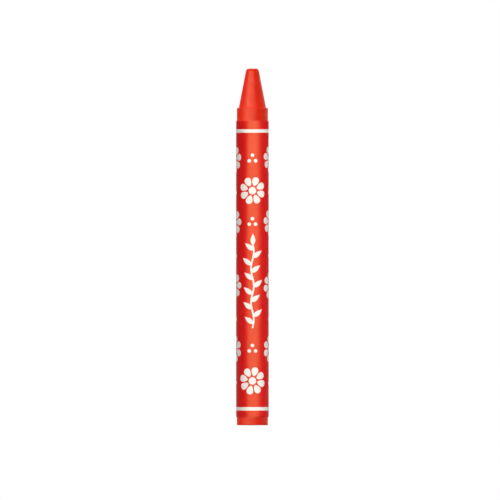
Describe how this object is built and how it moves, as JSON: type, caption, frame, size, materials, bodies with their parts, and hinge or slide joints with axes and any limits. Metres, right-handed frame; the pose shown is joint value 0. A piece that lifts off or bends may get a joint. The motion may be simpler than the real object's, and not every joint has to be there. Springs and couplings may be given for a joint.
{
  "type": "wax crayon",
  "caption": "Cylindrical wax stick with a blunt conical tip above a stepped shoulder, wrapped in a pasted paper label that leaves the wax bare at both ends, for drawing and colouring by hand.",
  "frame": {"origin": "centre of the flat butt end", "axes": "+Z along the stick towards the tip; the front of the label faces -Y and its lap is at +Y"},
  "size_m": [0.0082, 0.0082, 0.09],
  "materials": {
    "red_wax": null,
    "printed_paper": "thin paper printed red, with white bands and white flowers left unprinted",
    "dry_paste": "thin dried starch paste, matt and off-white"
  },
  "bodies": {
    "root": {"wax_stick": "red_wax", "paper_label": "printed_paper", "label_paste": "dry_paste"}
  },
  "joints": []
}
